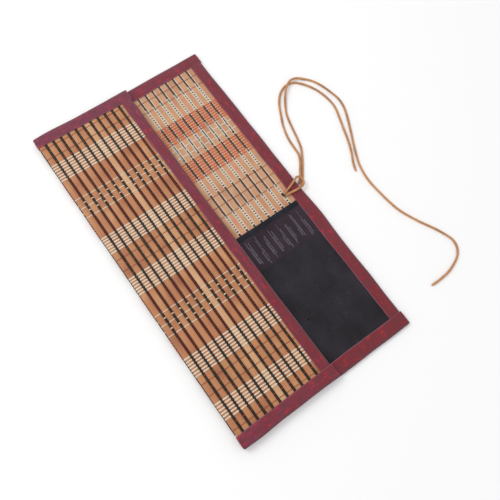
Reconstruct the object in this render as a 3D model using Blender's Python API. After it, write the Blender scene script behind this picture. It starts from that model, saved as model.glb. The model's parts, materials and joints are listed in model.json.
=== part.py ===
"""A roll-up brush case: a mat of bamboo slats bound in ribbon, with a cloth pocket inside and a tie cord.

The mat lies on the ground plane, folded over once along its left side. Slats run along Y. X runs across
them, from the fold towards the edge that carries the cord, and Z is up. The origin is at the middle of
the underside. Lengths are in metres.
"""

import math

import bpy
from mathutils import Vector

# Mat
MAT_LENGTH = 0.360
BASE_SLATS = 22
FLAP_SLATS = 13
BASE_PITCH = 0.0087
FLAP_PITCH = 0.00836
BASE_SLAT_WIDTH = 0.0063
FLAP_SLAT_WIDTH = 0.00596
LAST_FLAP_SLAT_WIDTH = 0.0045
SLAT_THICKNESS = 0.0012
SLAT_CHAMFER = 0.0002
STICK_RADIUS = 0.0010
STICK_SIDES = 8
STICK_GAP = 0.0001
CLEARANCE = 0.0003

# Fold
FOLD_STICK_RADIUS = 0.00095
FIRST_BASE_SLAT = 0.0005
FIRST_FLAP_SLAT = -0.00015

# Ribbon binding
RIBBON = 0.0006
END_BINDING_WIDTH = 0.0128
CORD_EDGE_BINDING_WIDTH = 0.0126
FLAP_EDGE_BINDING_WIDTH = 0.0112
BINDING_HEIGHT = 2 * (STICK_RADIUS + CLEARANCE + RIBBON)
LAYER_STEP = 0.0042

# Pocket
CLOTH = 0.0006
POCKET_MOUTH_Y = -0.0186
BAND_LENGTH = 0.0404
POCKET_FOLD_MARGIN = 0.0014

# Cord
CORD_RADIUS = 0.0010
CORD_STEP = 0.0061
HITCH_Y = -0.0075
HITCH_WIDTH = 0.0036
HITCH_RISER = 0.0010
NOTCH_DEPTH = 0.0017
SMOOTH_STEPS = 24

# Places that follow from the sizes above
UNIT_TAIL = STICK_GAP + 2 * STICK_RADIUS
BASE_EDGE_FROM_FOLD = (
    FIRST_BASE_SLAT + BASE_PITCH * (BASE_SLATS - 1) + BASE_SLAT_WIDTH + UNIT_TAIL + CLEARANCE + RIBBON
)
FOLD_X = FOLD_STICK_RADIUS - (FOLD_STICK_RADIUS + BASE_EDGE_FROM_FOLD) / 2
EDGE_X = FOLD_X + BASE_EDGE_FROM_FOLD
FLAP_EDGE_X = (
    FOLD_X + FIRST_FLAP_SLAT + FLAP_PITCH * (FLAP_SLATS - 1) + LAST_FLAP_SLAT_WIDTH + CLEARANCE + RIBBON
)
BASE_Z = BINDING_HEIGHT / 2
FLAP_Z = BASE_Z + LAYER_STEP
FOLD_Z = (BASE_Z + FLAP_Z) / 2
HALF_LENGTH = MAT_LENGTH / 2
SLAT_END = HALF_LENGTH - RIBBON - CLEARANCE
END_BINDING_INNER = HALF_LENGTH - END_BINDING_WIDTH

# Where the two free ends of the cord lie: x, y and height of the middle of the cord. The long end
# crosses over the short one near the top of their shared bow.
CORD_LONG_ROUTE = [
    (0.0986, -0.0084, 0.0011), (0.1012, -0.0062, 0.0010), (0.1052, -0.0030, 0.0010), (0.1108, 0.0045, 0.0010),
    (0.1180, 0.0140, 0.0010), (0.1250, 0.0250, 0.0010), (0.1290, 0.0370, 0.0010), (0.1325, 0.0510, 0.0010),
    (0.1365, 0.0650, 0.0010), (0.1420, 0.0750, 0.0012), (0.1490, 0.0850, 0.0022), (0.1565, 0.0925, 0.0033),
    (0.1640, 0.0965, 0.0034), (0.1720, 0.0958, 0.0024), (0.1795, 0.0905, 0.0012), (0.1860, 0.0830, 0.0010),
    (0.1905, 0.0730, 0.0010), (0.1940, 0.0600, 0.0010), (0.1955, 0.0490, 0.0010), (0.1932, 0.0370, 0.0010),
    (0.1882, 0.0255, 0.0010), (0.1820, 0.0130, 0.0010), (0.1752, 0.0000, 0.0010), (0.1692, -0.0120, 0.0010),
    (0.1640, -0.0250, 0.0010), (0.1612, -0.0410, 0.0010), (0.1620, -0.0600, 0.0010), (0.1655, -0.0840, 0.0010),
    (0.1740, -0.1050, 0.0010), (0.1850, -0.1260, 0.0010), (0.1902, -0.1430, 0.0010), (0.1840, -0.1555, 0.0010),
    (0.1680, -0.1630, 0.0010), (0.1520, -0.1650, 0.0010), (0.1410, -0.1648, 0.0010),
]
CORD_SHORT_ROUTE = [
    (0.0984, -0.0050, 0.0011), (0.1010, -0.0030, 0.0010), (0.1045, 0.0000, 0.0010), (0.1090, 0.0060, 0.0010),
    (0.1150, 0.0140, 0.0010), (0.1190, 0.0220, 0.0010), (0.1200, 0.0330, 0.0010), (0.1215, 0.0440, 0.0010),
    (0.1255, 0.0570, 0.0010), (0.1310, 0.0680, 0.0010), (0.1375, 0.0800, 0.0010), (0.1450, 0.0890, 0.0010),
    (0.1535, 0.0942, 0.0010), (0.1620, 0.0950, 0.0010), (0.1690, 0.0920, 0.0010), (0.1760, 0.0840, 0.0010),
    (0.1820, 0.0730, 0.0010), (0.1855, 0.0600, 0.0010), (0.1860, 0.0460, 0.0010), (0.1815, 0.0310, 0.0010),
    (0.1768, 0.0180, 0.0010), (0.1718, 0.0040, 0.0010), (0.1662, -0.0080, 0.0010), (0.1602, -0.0185, 0.0010),
    (0.1568, -0.0270, 0.0010),
]
# The bight: up out of the mat, over the bound edge, round past the free ends and back.
HITCH_ROUTE = [
    (0.0795, -0.0062, 0.0029), (0.0796, -0.0062, 0.0036), (0.0812, -0.0057, 0.0046), (0.0845, -0.0047, 0.0051),
    (0.0885, -0.0033, 0.0051), (0.0925, -0.0018, 0.0051), (0.0962, -0.0003, 0.0050), (0.0988, 0.0010, 0.0046),
    (0.1013, 0.0012, 0.0040), (0.1032, 0.0000, 0.0036), (0.1040, -0.0022, 0.0034), (0.1038, -0.0050, 0.0034),
    (0.1025, -0.0078, 0.0038), (0.1000, -0.0096, 0.0045), (0.0968, -0.0101, 0.0051), (0.0925, -0.0101, 0.0051),
    (0.0885, -0.0098, 0.0051), (0.0845, -0.0093, 0.0051), (0.0812, -0.0088, 0.0046), (0.0796, -0.0086, 0.0036),
    (0.0795, -0.0086, 0.0029),
]
HITCH_STEP = 0.0025

BAMBOO = ("bamboo", (0.60, 0.36, 0.18), 0.55)
DARK_BAMBOO = ("dark_bamboo", (0.03, 0.025, 0.02), 0.55)
RIBBON_CLOTH = ("ribbon", (0.22, 0.05, 0.09), 0.75)
POCKET_CLOTH = ("pocket_cloth", (0.025, 0.023, 0.028), 0.9)
CORD_WAX = ("cord", (0.42, 0.24, 0.13), 0.6)


def clear_scene():
    for thing in list(bpy.data.objects):
        bpy.data.objects.remove(thing, do_unlink=True)


def material(finish):
    name, colour, roughness = finish
    made = bpy.data.materials.get(name)
    if made is None:
        made = bpy.data.materials.new(name)
        made.use_nodes = True
        shader = made.node_tree.nodes["Principled BSDF"]
        shader.inputs["Base Color"].default_value = (*colour, 1.0)
        shader.inputs["Roughness"].default_value = roughness
        shader.inputs["Metallic"].default_value = 0.0
    return made


def add_object(name, data, finish, location=(0.0, 0.0, 0.0)):
    thing = bpy.data.objects.new(name, data)
    data.materials.append(material(finish))
    thing.location = location
    bpy.context.collection.objects.link(thing)
    return thing


def prism(name, outline, y_low, y_high):
    """A mesh: a counterclockwise outline of (x, z) points, extruded along Y."""
    count = len(outline)
    points = [(x, y_low, z) for x, z in outline] + [(x, y_high, z) for x, z in outline]
    faces = [tuple(range(count)), tuple(reversed(range(count, 2 * count)))]
    for i in range(count):
        j = (i + 1) % count
        faces.append((i, i + count, j + count, j))
    mesh = bpy.data.meshes.new(name)
    mesh.from_pydata(points, [], faces)
    mesh.validate()
    return mesh


def box(name, low, high):
    outline = [(low[0], low[2]), (high[0], low[2]), (high[0], high[2]), (low[0], high[2])]
    return prism(name, outline, low[1], high[1])


def cut(target, name, low, high):
    """Cuts a box out of an object."""
    tool = bpy.data.objects.new(name, box(name, low, high))
    tool.hide_render = True
    tool.display_type = "WIRE"
    bpy.context.collection.objects.link(tool)
    modifier = target.modifiers.new(name, "BOOLEAN")
    modifier.operation = "DIFFERENCE"
    modifier.solver = "EXACT"
    modifier.object = tool


def slat_outline(width, with_stick):
    """A slat with its left end at 0, and the dark stick that the warp ties to its right side."""
    half = SLAT_THICKNESS / 2
    corner = math.pi / STICK_SIDES
    neck = STICK_RADIUS * math.sin(corner)
    points = [(SLAT_CHAMFER, -half), (width - SLAT_CHAMFER, -half), (width, -neck)]
    if with_stick:
        centre = width + STICK_GAP + STICK_RADIUS
        for i in range(STICK_SIDES):
            angle = math.pi + corner + 2 * corner * i
            points.append((centre + STICK_RADIUS * math.cos(angle), STICK_RADIUS * math.sin(angle)))
    points += [(width, neck), (width - SLAT_CHAMFER, half), (SLAT_CHAMFER, half), (0.0, neck), (0.0, -neck)]
    return points


def base_slat_x(number):
    """The left side of a base slat, numbered from 1 at the cord edge."""
    return FOLD_X + FIRST_BASE_SLAT + BASE_PITCH * (BASE_SLATS - number)


def flap_slat_x(number):
    """The left side of a flap slat, numbered from 1 at the fold."""
    return FOLD_X + FIRST_FLAP_SLAT + FLAP_PITCH * (number - 1)


def add_slats():
    """Each slat's origin is on the line about which it turns against its neighbour."""
    to_axis = CLEARANCE / 2
    base_outline = [(x + to_axis, z) for x, z in slat_outline(BASE_SLAT_WIDTH, True)]
    base_mesh = prism("base_slat", base_outline, -SLAT_END, SLAT_END)
    for number in range(1, BASE_SLATS + 1):
        place = (base_slat_x(number) - to_axis, 0.0, BASE_Z)
        slat = add_object(f"base_slat_{number:02d}", base_mesh.copy(), BAMBOO, place)
        if number == 2:
            cut_cord_notch(slat)
    flap_outline = [(x + to_axis, z) for x, z in slat_outline(FLAP_SLAT_WIDTH, True)]
    flap_mesh = prism("flap_slat", flap_outline, -SLAT_END, SLAT_END)
    last_outline = [(x + to_axis, z) for x, z in slat_outline(LAST_FLAP_SLAT_WIDTH, False)]
    for number in range(1, FLAP_SLATS + 1):
        place = (flap_slat_x(number) - to_axis, 0.0, FLAP_Z)
        mesh = flap_mesh.copy()
        if number == FLAP_SLATS:
            mesh = prism("last_flap_slat", last_outline, -SLAT_END, SLAT_END)
        add_object(f"flap_slat_{number:02d}", mesh, BAMBOO, place)


def cut_cord_notch(slat):
    """The cord goes down through the mat beside this slat."""
    left = base_slat_x(2)
    half = HITCH_WIDTH / 2 + CLEARANCE
    low = (left - 0.001, HITCH_Y - half, 0.0)
    high = (left + NOTCH_DEPTH, HITCH_Y + half, 2 * BASE_Z)
    cut(slat, "cord_notch_tool", low, high)


def add_fold_stick():
    """The stick inside the fold, between the end bindings: the flap opens about its middle."""
    points = []
    for i in range(STICK_SIDES):
        angle = 2 * math.pi * (i + 0.5) / STICK_SIDES
        points.append((FOLD_STICK_RADIUS * math.cos(angle), FOLD_STICK_RADIUS * math.sin(angle)))
    reach = END_BINDING_INNER - CLEARANCE
    mesh = prism("fold_stick", points, -reach, reach)
    add_object("fold_stick", mesh, DARK_BAMBOO, (FOLD_X, 0.0, FOLD_Z))


def add_end_binding(name, left, right, middle_z, end):
    """Ribbon folded over the slats' ends, and closed round the corner at its right. end is 1 or -1."""
    half = BINDING_HEIGHT / 2
    inner_half = half - RIBBON
    y_low, y_high = sorted((end * END_BINDING_INNER, end * HALF_LENGTH))
    low = (left, y_low, middle_z - half)
    high = (right, y_high, middle_z + half)
    binding = add_object(name, box(name, low, high), RIBBON_CLOTH)
    slot_low, slot_high = sorted((end * (END_BINDING_INNER - 0.001), end * (HALF_LENGTH - RIBBON)))
    cut_low = (left - 0.001, slot_low, middle_z - inner_half)
    cut_high = (right - RIBBON, slot_high, middle_z + inner_half)
    cut(binding, name + "_tool", cut_low, cut_high)
    return binding


def add_side_binding(name, right, width, middle_z):
    """Ribbon folded over the mat's long edge, from one end binding to the other."""
    half = BINDING_HEIGHT / 2
    inner_half = half - RIBBON
    left = right - width
    outline = [
        (left, -half), (right, -half), (right, half), (left, half),
        (left, inner_half), (right - RIBBON, inner_half), (right - RIBBON, -inner_half), (left, -inner_half),
    ]
    reach = END_BINDING_INNER - CLEARANCE
    mesh = prism(name, outline, -reach, reach)
    return add_object(name, mesh, RIBBON_CLOTH, (0.0, 0.0, middle_z))


def add_bindings():
    for label, end in (("top", 1), ("bottom", -1)):
        add_end_binding(f"base_{label}_binding", FOLD_X + FIRST_BASE_SLAT, EDGE_X, BASE_Z, end)
        add_end_binding(f"flap_{label}_binding", FOLD_X + FIRST_FLAP_SLAT, FLAP_EDGE_X, FLAP_Z, end)
    cord_edge = add_side_binding("cord_edge_binding", EDGE_X, CORD_EDGE_BINDING_WIDTH, BASE_Z)
    half = HITCH_WIDTH / 2 + CLEARANCE
    low = (EDGE_X - CORD_EDGE_BINDING_WIDTH - 0.001, HITCH_Y - half, -BASE_Z)
    high = (EDGE_X + 0.001, HITCH_Y + half, RIBBON + CLEARANCE / 2)
    cut(cord_edge, "cord_channel_tool", low, high)
    add_side_binding("flap_edge_binding", FLAP_EDGE_X, FLAP_EDGE_BINDING_WIDTH, FLAP_Z)


def add_pocket_layer(layer, right, low_z):
    """One layer's share of the pocket: the elastic band at its mouth and the plain cloth below."""
    left = FOLD_X + POCKET_FOLD_MARGIN
    bottom = -(END_BINDING_INNER - CLEARANCE)
    seam = POCKET_MOUTH_Y - BAND_LENGTH
    band = box("band", (left, seam, low_z), (right, POCKET_MOUTH_Y, low_z + CLOTH))
    add_object(f"{layer}_pocket_band", band, POCKET_CLOTH)
    cloth = box("cloth", (left, bottom, low_z), (right, seam - CLEARANCE, low_z + CLOTH))
    add_object(f"{layer}_pocket", cloth, POCKET_CLOTH)


def add_pocket():
    above_sticks = STICK_RADIUS + CLEARANCE
    base_right = EDGE_X - CORD_EDGE_BINDING_WIDTH - CLEARANCE
    flap_right = FLAP_EDGE_X - FLAP_EDGE_BINDING_WIDTH - CLEARANCE
    add_pocket_layer("base", base_right, BASE_Z + above_sticks)
    add_pocket_layer("flap", flap_right, FLAP_Z - above_sticks - CLOTH)


def smooth_points(route, step):
    """Evenly spaced points on a smooth curve through the route's points."""
    ends = [2 * Vector(route[0]) - Vector(route[1]), 2 * Vector(route[-1]) - Vector(route[-2])]
    knots = [ends[0], *(Vector(p) for p in route), ends[1]]
    fine = []
    for i in range(1, len(knots) - 2):
        before, start, stop, after = knots[i - 1 : i + 3]
        for j in range(SMOOTH_STEPS):
            t = j / SMOOTH_STEPS
            bend = 2 * start + (stop - before) * t + (2 * before - 5 * start + 4 * stop - after) * t**2
            fine.append(0.5 * (bend + (3 * start - before - 3 * stop + after) * t**3))
    fine.append(knots[-2])
    lengths = [0.0]
    for a, b in zip(fine, fine[1:]):
        lengths.append(lengths[-1] + (b - a).length)
    count = max(2, round(lengths[-1] / step))
    points = []
    k = 0
    for i in range(count + 1):
        along = lengths[-1] * i / count
        while k < len(fine) - 2 and lengths[k + 1] < along:
            k += 1
        share = (along - lengths[k]) / (lengths[k + 1] - lengths[k])
        points.append(fine[k].lerp(fine[k + 1], share))
    return points


def add_tube(name, route, step, origin):
    points = smooth_points(route, step)
    curve = bpy.data.curves.new(name, "CURVE")
    curve.dimensions = "3D"
    curve.bevel_depth = CORD_RADIUS
    curve.bevel_resolution = 2
    curve.resolution_u = 1
    curve.render_resolution_u = 0
    curve.use_fill_caps = True
    spline = curve.splines.new("POLY")
    spline.points.add(len(points) - 1)
    for place, point in zip(spline.points, points):
        place.co = (*(point - Vector(origin)), 1.0)
    spline.use_smooth = True
    add_object(name, curve, CORD_WAX, origin)


def add_cord():
    """The doubled cord: a bight over the edge, a band under it, and two free ends that swing about it."""
    add_tube("cord_hitch_loop", HITCH_ROUTE, HITCH_STEP, (0.0, 0.0, 0.0))
    left = base_slat_x(2) + CLEARANCE + 0.0001
    right = EDGE_X + CLEARANCE
    riser_top = BASE_Z + CLEARANCE
    outline = [
        (left, 0.0), (right, 0.0), (right, RIBBON), (left + HITCH_RISER, RIBBON),
        (left + HITCH_RISER, riser_top), (left, riser_top),
    ]
    half = HITCH_WIDTH / 2
    band = prism("cord_hitch_band", outline, HITCH_Y - half, HITCH_Y + half)
    add_object("cord_hitch_band", band, CORD_WAX)
    pivot = (EDGE_X + 2 * CORD_RADIUS, HITCH_Y, 0.0)
    add_tube("cord_long_end", CORD_LONG_ROUTE, CORD_STEP, pivot)
    add_tube("cord_short_end", CORD_SHORT_ROUTE, CORD_STEP, pivot)


clear_scene()
add_slats()
add_fold_stick()
add_bindings()
add_pocket()
add_cord()
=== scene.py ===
"""Looks of the roll-up brush case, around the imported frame: woven slats, ribbon, pocket and waxed cord."""

import json
import math
import random

import bmesh
import bpy
from mathutils import Matrix, Vector, noise
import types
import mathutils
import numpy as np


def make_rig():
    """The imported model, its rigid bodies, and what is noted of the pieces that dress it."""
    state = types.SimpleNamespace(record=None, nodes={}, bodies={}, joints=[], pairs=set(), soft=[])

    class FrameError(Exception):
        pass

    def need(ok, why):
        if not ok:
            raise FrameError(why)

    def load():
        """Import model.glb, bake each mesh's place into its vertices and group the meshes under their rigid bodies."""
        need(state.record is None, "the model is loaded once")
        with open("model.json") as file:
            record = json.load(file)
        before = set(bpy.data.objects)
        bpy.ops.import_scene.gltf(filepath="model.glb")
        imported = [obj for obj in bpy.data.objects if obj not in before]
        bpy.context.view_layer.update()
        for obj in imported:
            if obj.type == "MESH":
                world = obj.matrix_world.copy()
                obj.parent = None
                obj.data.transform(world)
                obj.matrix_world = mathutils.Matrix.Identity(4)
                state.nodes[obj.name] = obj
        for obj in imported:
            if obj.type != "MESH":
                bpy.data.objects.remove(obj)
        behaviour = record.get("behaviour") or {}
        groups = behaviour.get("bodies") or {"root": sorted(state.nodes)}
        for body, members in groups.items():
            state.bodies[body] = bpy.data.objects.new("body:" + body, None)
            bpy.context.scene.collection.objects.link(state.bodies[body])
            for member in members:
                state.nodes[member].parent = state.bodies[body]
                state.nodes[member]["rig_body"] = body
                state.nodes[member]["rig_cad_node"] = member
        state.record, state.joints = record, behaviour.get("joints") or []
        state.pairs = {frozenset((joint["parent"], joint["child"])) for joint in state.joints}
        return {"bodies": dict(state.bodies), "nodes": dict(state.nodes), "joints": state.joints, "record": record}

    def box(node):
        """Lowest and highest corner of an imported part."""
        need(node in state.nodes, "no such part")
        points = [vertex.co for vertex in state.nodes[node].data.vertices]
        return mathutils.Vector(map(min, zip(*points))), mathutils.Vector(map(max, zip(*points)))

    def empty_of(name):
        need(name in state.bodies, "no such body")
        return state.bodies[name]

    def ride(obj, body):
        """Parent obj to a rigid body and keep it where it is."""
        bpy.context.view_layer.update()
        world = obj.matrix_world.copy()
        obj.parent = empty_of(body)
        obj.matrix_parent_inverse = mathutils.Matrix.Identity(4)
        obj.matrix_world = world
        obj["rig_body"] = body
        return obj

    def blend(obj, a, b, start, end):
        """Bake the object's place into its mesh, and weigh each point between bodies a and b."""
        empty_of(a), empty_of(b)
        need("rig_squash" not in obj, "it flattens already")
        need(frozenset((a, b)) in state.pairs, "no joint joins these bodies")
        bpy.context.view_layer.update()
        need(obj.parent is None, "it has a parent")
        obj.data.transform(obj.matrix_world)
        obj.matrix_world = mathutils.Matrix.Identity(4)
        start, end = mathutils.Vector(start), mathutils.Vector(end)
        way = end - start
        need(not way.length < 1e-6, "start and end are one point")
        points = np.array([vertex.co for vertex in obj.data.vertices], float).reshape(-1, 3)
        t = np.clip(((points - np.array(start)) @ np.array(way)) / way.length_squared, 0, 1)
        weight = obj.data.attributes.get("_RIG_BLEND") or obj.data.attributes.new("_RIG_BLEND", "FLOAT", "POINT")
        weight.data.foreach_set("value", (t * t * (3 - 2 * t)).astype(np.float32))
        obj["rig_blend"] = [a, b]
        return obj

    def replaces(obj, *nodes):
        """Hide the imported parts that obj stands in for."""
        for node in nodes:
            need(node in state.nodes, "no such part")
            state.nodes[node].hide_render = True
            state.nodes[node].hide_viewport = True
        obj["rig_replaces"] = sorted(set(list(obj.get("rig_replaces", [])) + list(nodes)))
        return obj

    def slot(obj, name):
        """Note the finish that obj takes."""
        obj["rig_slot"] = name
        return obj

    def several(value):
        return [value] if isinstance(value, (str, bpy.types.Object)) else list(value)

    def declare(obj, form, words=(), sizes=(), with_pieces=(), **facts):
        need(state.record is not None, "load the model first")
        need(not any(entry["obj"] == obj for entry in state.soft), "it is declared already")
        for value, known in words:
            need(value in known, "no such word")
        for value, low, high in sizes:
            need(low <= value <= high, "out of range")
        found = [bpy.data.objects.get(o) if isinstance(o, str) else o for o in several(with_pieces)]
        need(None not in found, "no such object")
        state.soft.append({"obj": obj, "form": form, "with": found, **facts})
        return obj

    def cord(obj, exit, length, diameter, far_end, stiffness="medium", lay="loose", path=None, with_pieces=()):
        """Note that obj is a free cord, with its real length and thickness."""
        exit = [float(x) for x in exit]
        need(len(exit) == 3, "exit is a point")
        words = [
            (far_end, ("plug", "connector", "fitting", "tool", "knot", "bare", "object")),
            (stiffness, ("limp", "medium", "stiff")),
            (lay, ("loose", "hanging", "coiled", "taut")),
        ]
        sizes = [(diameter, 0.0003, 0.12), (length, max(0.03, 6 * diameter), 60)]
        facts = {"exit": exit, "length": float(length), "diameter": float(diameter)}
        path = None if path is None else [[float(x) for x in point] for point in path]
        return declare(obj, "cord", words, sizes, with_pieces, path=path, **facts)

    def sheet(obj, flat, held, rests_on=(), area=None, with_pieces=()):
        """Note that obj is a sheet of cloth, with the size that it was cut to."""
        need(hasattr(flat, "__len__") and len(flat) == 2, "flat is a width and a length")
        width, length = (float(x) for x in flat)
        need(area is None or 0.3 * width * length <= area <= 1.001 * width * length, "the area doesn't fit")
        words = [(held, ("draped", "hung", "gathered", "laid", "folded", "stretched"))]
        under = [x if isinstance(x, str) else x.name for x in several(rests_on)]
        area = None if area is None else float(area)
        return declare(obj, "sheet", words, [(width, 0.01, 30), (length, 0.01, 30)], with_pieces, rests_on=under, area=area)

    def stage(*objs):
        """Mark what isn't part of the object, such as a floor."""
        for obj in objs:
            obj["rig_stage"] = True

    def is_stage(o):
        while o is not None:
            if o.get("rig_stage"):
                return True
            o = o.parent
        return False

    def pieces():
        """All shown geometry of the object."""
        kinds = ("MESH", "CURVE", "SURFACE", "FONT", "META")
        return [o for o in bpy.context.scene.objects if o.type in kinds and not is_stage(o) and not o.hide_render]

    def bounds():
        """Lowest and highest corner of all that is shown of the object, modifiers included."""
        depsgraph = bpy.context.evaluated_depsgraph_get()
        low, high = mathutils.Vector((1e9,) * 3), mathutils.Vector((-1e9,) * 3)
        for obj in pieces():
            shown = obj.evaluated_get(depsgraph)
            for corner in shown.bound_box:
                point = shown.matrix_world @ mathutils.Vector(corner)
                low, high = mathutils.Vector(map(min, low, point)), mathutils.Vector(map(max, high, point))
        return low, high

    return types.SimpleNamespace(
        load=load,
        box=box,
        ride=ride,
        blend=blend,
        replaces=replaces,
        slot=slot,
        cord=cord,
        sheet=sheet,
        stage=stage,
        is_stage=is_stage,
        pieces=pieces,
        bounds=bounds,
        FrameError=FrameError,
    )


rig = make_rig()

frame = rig.load()
CAD_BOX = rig.bounds()

MM = 0.001

# Slats and sticks: widths as in the CAD, heights about the middle of their layer
BASE_SLATS = 22
FLAP_SLATS = 13
BASE_SLAT_WIDTH = 6.3 * MM
FLAP_SLAT_WIDTH = 5.96 * MM
LAST_FLAP_SLAT_WIDTH = 4.5 * MM
SLAT_HALF = 0.6 * MM
STICK_RADIUS = 1.0 * MM
STICK_FROM_SLAT = 1.1 * MM
SLAT_STEPS = 44
PALE_FLAP_SLAT = 7
# Stretches of y, in mm, where the sticks' pale flanks show inside the mat
PITH_STRETCHES = ((122, 147), (78, 103), (33, 55), (-15, 6), (-63, -38), (-108, -86))

# The gap in the second base slat that the hitch comes up through
NOTCH_Y = -7.3 * MM
NOTCH_HALF = 2.3 * MM
NOTCH_DEPTH = 2.0 * MM

# Warp threads: (kind, first y, last y, count) down the mat, measured at the fold
WEAVE = (
    ("line", 166.5, 154.5, 2), ("dot", 161.0, 149.0, 2),
    ("cream", 145.5, 126.6, 7), ("red", 124.0, 103.3, 8),
    ("cream_line", 101.5, 80.0, 3), ("cream_dot", 95.5, 86.0, 2),
    ("red", 77.5, 56.3, 8), ("cream", 53.5, 36.0, 7),
    ("dot", 32.5, 9.0, 3), ("line", 27.0, 14.5, 2),
    ("cream", 5.0, -13.0, 7), ("red", -17.0, -37.0, 8),
    ("cream_line", -38.8, -61.5, 3), ("cream_dot", -44.5, -55.8, 2),
    ("red", -64.0, -84.6, 8), ("cream", -87.0, -105.3, 7),
    ("dot", -108.5, -132.0, 3), ("line", -114.3, -126.3, 2),
    ("cream", -135.5, -151.0, 6), ("dot", -157.0, -157.0, 1), ("line", -162.5, -162.5, 1),
)
# kind: (width, thickness, +1 where it shows over the slats on the outside and -1 over the sticks, material)
THREADS = {
    "cream": (1.55 * MM, 0.40 * MM, 1, "thread_cream"),
    "red": (1.45 * MM, 0.34 * MM, -1, "thread_red"),
    "cream_line": (0.85 * MM, 0.34 * MM, 1, "thread_cream"),
    "cream_dot": (1.05 * MM, 0.36 * MM, -1, "thread_cream"),
    "line": (0.70 * MM, 0.28 * MM, 1, "thread_brown"),
    "dot": (0.60 * MM, 0.26 * MM, -1, "thread_brown"),
}
FLAP_SKEW = -0.024
BASE_SKEW = -0.012
THREAD_WANDER = 0.28 * MM
THREAD_BEND = 0.5 * MM
CLOTH_BEND = 3.2 * MM

# Ribbon: (share of the way from its lip to its folded edge, share of its half height)
RIBBON_OUTLINE = (
    (0.0, 0.70), (0.02, 0.80), (0.08, 0.87), (0.2, 0.93), (0.36, 0.98), (0.55, 1.0), (0.74, 0.99),
    (0.88, 0.92), (0.96, 0.74), (1.0, 0.36),
)
RIBBON_THICK = 0.5 * MM
RIBBON_HALF = 14.6 * MM
RIBBON_STEPS = 8
FOLD_MARGIN = 1.3 * MM
BINDING_HALF = 1.9 * MM
HALF_LENGTH = 180.0 * MM

# Pocket: its mouth, hem and band, and how far right it reaches on the base and on the flap
POCKET_MOUTH = -18.3 * MM
POCKET_FOOT = 167.6 * MM
POCKET_TUCK = 0.45 * MM
POCKET_RIGHT = {1: 84.4 * MM, -1: -1.3 * MM}
HEM = 5.6 * MM
BAND = 40.4 * MM
CLOTH_RISE = 1.70 * MM
CLOTH_THICK = 0.4 * MM
CREASES = (
    (47.6 * MM, -62 * MM, 0.42 * MM), (51.6 * MM, -60 * MM, 0.40 * MM), (34.0 * MM, -128 * MM, 0.24 * MM),
    (66.0 * MM, -70 * MM, 0.12 * MM), (82.6 * MM, -58 * MM, 0.40 * MM),
)
HOLE = (20.3 * MM, -122.0 * MM)

# Cord
CORD_RADIUS = 1.0 * MM
STRAND_RADIUS = 1.2 * MM
CORD_TWIST = 6.5 * MM
CORD_STEP = 0.55 * MM
CORD_SIDES = 15
CORD_LONG_ROUTE = [
    (0.0986, -0.0084, 0.0011), (0.1012, -0.0062, 0.0010), (0.1052, -0.0030, 0.0010), (0.1108, 0.0045, 0.0010),
    (0.1180, 0.0140, 0.0010), (0.1250, 0.0250, 0.0010), (0.1290, 0.0370, 0.0010), (0.1325, 0.0510, 0.0010),
    (0.1365, 0.0650, 0.0010), (0.1420, 0.0750, 0.0012), (0.1490, 0.0850, 0.0022), (0.1565, 0.0925, 0.0033),
    (0.1640, 0.0965, 0.0034), (0.1720, 0.0958, 0.0024), (0.1795, 0.0905, 0.0012), (0.1860, 0.0830, 0.0010),
    (0.1905, 0.0730, 0.0010), (0.1940, 0.0600, 0.0010), (0.1955, 0.0490, 0.0010), (0.1932, 0.0370, 0.0010),
    (0.1882, 0.0255, 0.0010), (0.1820, 0.0130, 0.0010), (0.1752, 0.0000, 0.0010), (0.1692, -0.0120, 0.0010),
    (0.1640, -0.0250, 0.0010), (0.1612, -0.0410, 0.0010), (0.1620, -0.0600, 0.0010), (0.1655, -0.0840, 0.0010),
    (0.1740, -0.1050, 0.0010), (0.1850, -0.1260, 0.0010), (0.1902, -0.1430, 0.0010), (0.1840, -0.1555, 0.0010),
    (0.1680, -0.1630, 0.0010), (0.1520, -0.1650, 0.0010), (0.1410, -0.1648, 0.0010),
]
CORD_SHORT_ROUTE = [
    (0.0984, -0.0050, 0.0011), (0.1010, -0.0030, 0.0010), (0.1045, 0.0000, 0.0010), (0.1090, 0.0060, 0.0010),
    (0.1150, 0.0140, 0.0010), (0.1190, 0.0220, 0.0010), (0.1200, 0.0330, 0.0010), (0.1215, 0.0440, 0.0010),
    (0.1255, 0.0570, 0.0010), (0.1310, 0.0680, 0.0010), (0.1375, 0.0800, 0.0010), (0.1450, 0.0890, 0.0010),
    (0.1535, 0.0942, 0.0010), (0.1620, 0.0950, 0.0010), (0.1690, 0.0920, 0.0010), (0.1760, 0.0840, 0.0010),
    (0.1820, 0.0730, 0.0010), (0.1855, 0.0600, 0.0010), (0.1860, 0.0460, 0.0010), (0.1815, 0.0310, 0.0010),
    (0.1768, 0.0180, 0.0010), (0.1718, 0.0040, 0.0010), (0.1662, -0.0080, 0.0010), (0.1602, -0.0185, 0.0010),
    (0.1568, -0.0270, 0.0010),
]
HITCH_ROUTE = [
    (0.0795, -0.0062, 0.0029), (0.0796, -0.0062, 0.0036), (0.0812, -0.0057, 0.0046), (0.0845, -0.0047, 0.0051),
    (0.0885, -0.0033, 0.0051), (0.0925, -0.0018, 0.0051), (0.0962, -0.0003, 0.0050), (0.0988, 0.0010, 0.0046),
    (0.1013, 0.0012, 0.0040), (0.1032, 0.0000, 0.0036), (0.1040, -0.0022, 0.0034), (0.1038, -0.0050, 0.0034),
    (0.1025, -0.0078, 0.0038), (0.1000, -0.0096, 0.0045), (0.0968, -0.0101, 0.0051), (0.0925, -0.0101, 0.0051),
    (0.0885, -0.0098, 0.0051), (0.0845, -0.0093, 0.0051), (0.0812, -0.0088, 0.0046), (0.0796, -0.0086, 0.0036),
    (0.0795, -0.0086, 0.0029),
]


# ---------------------------------------------------------------- camera, light, floor

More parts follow.
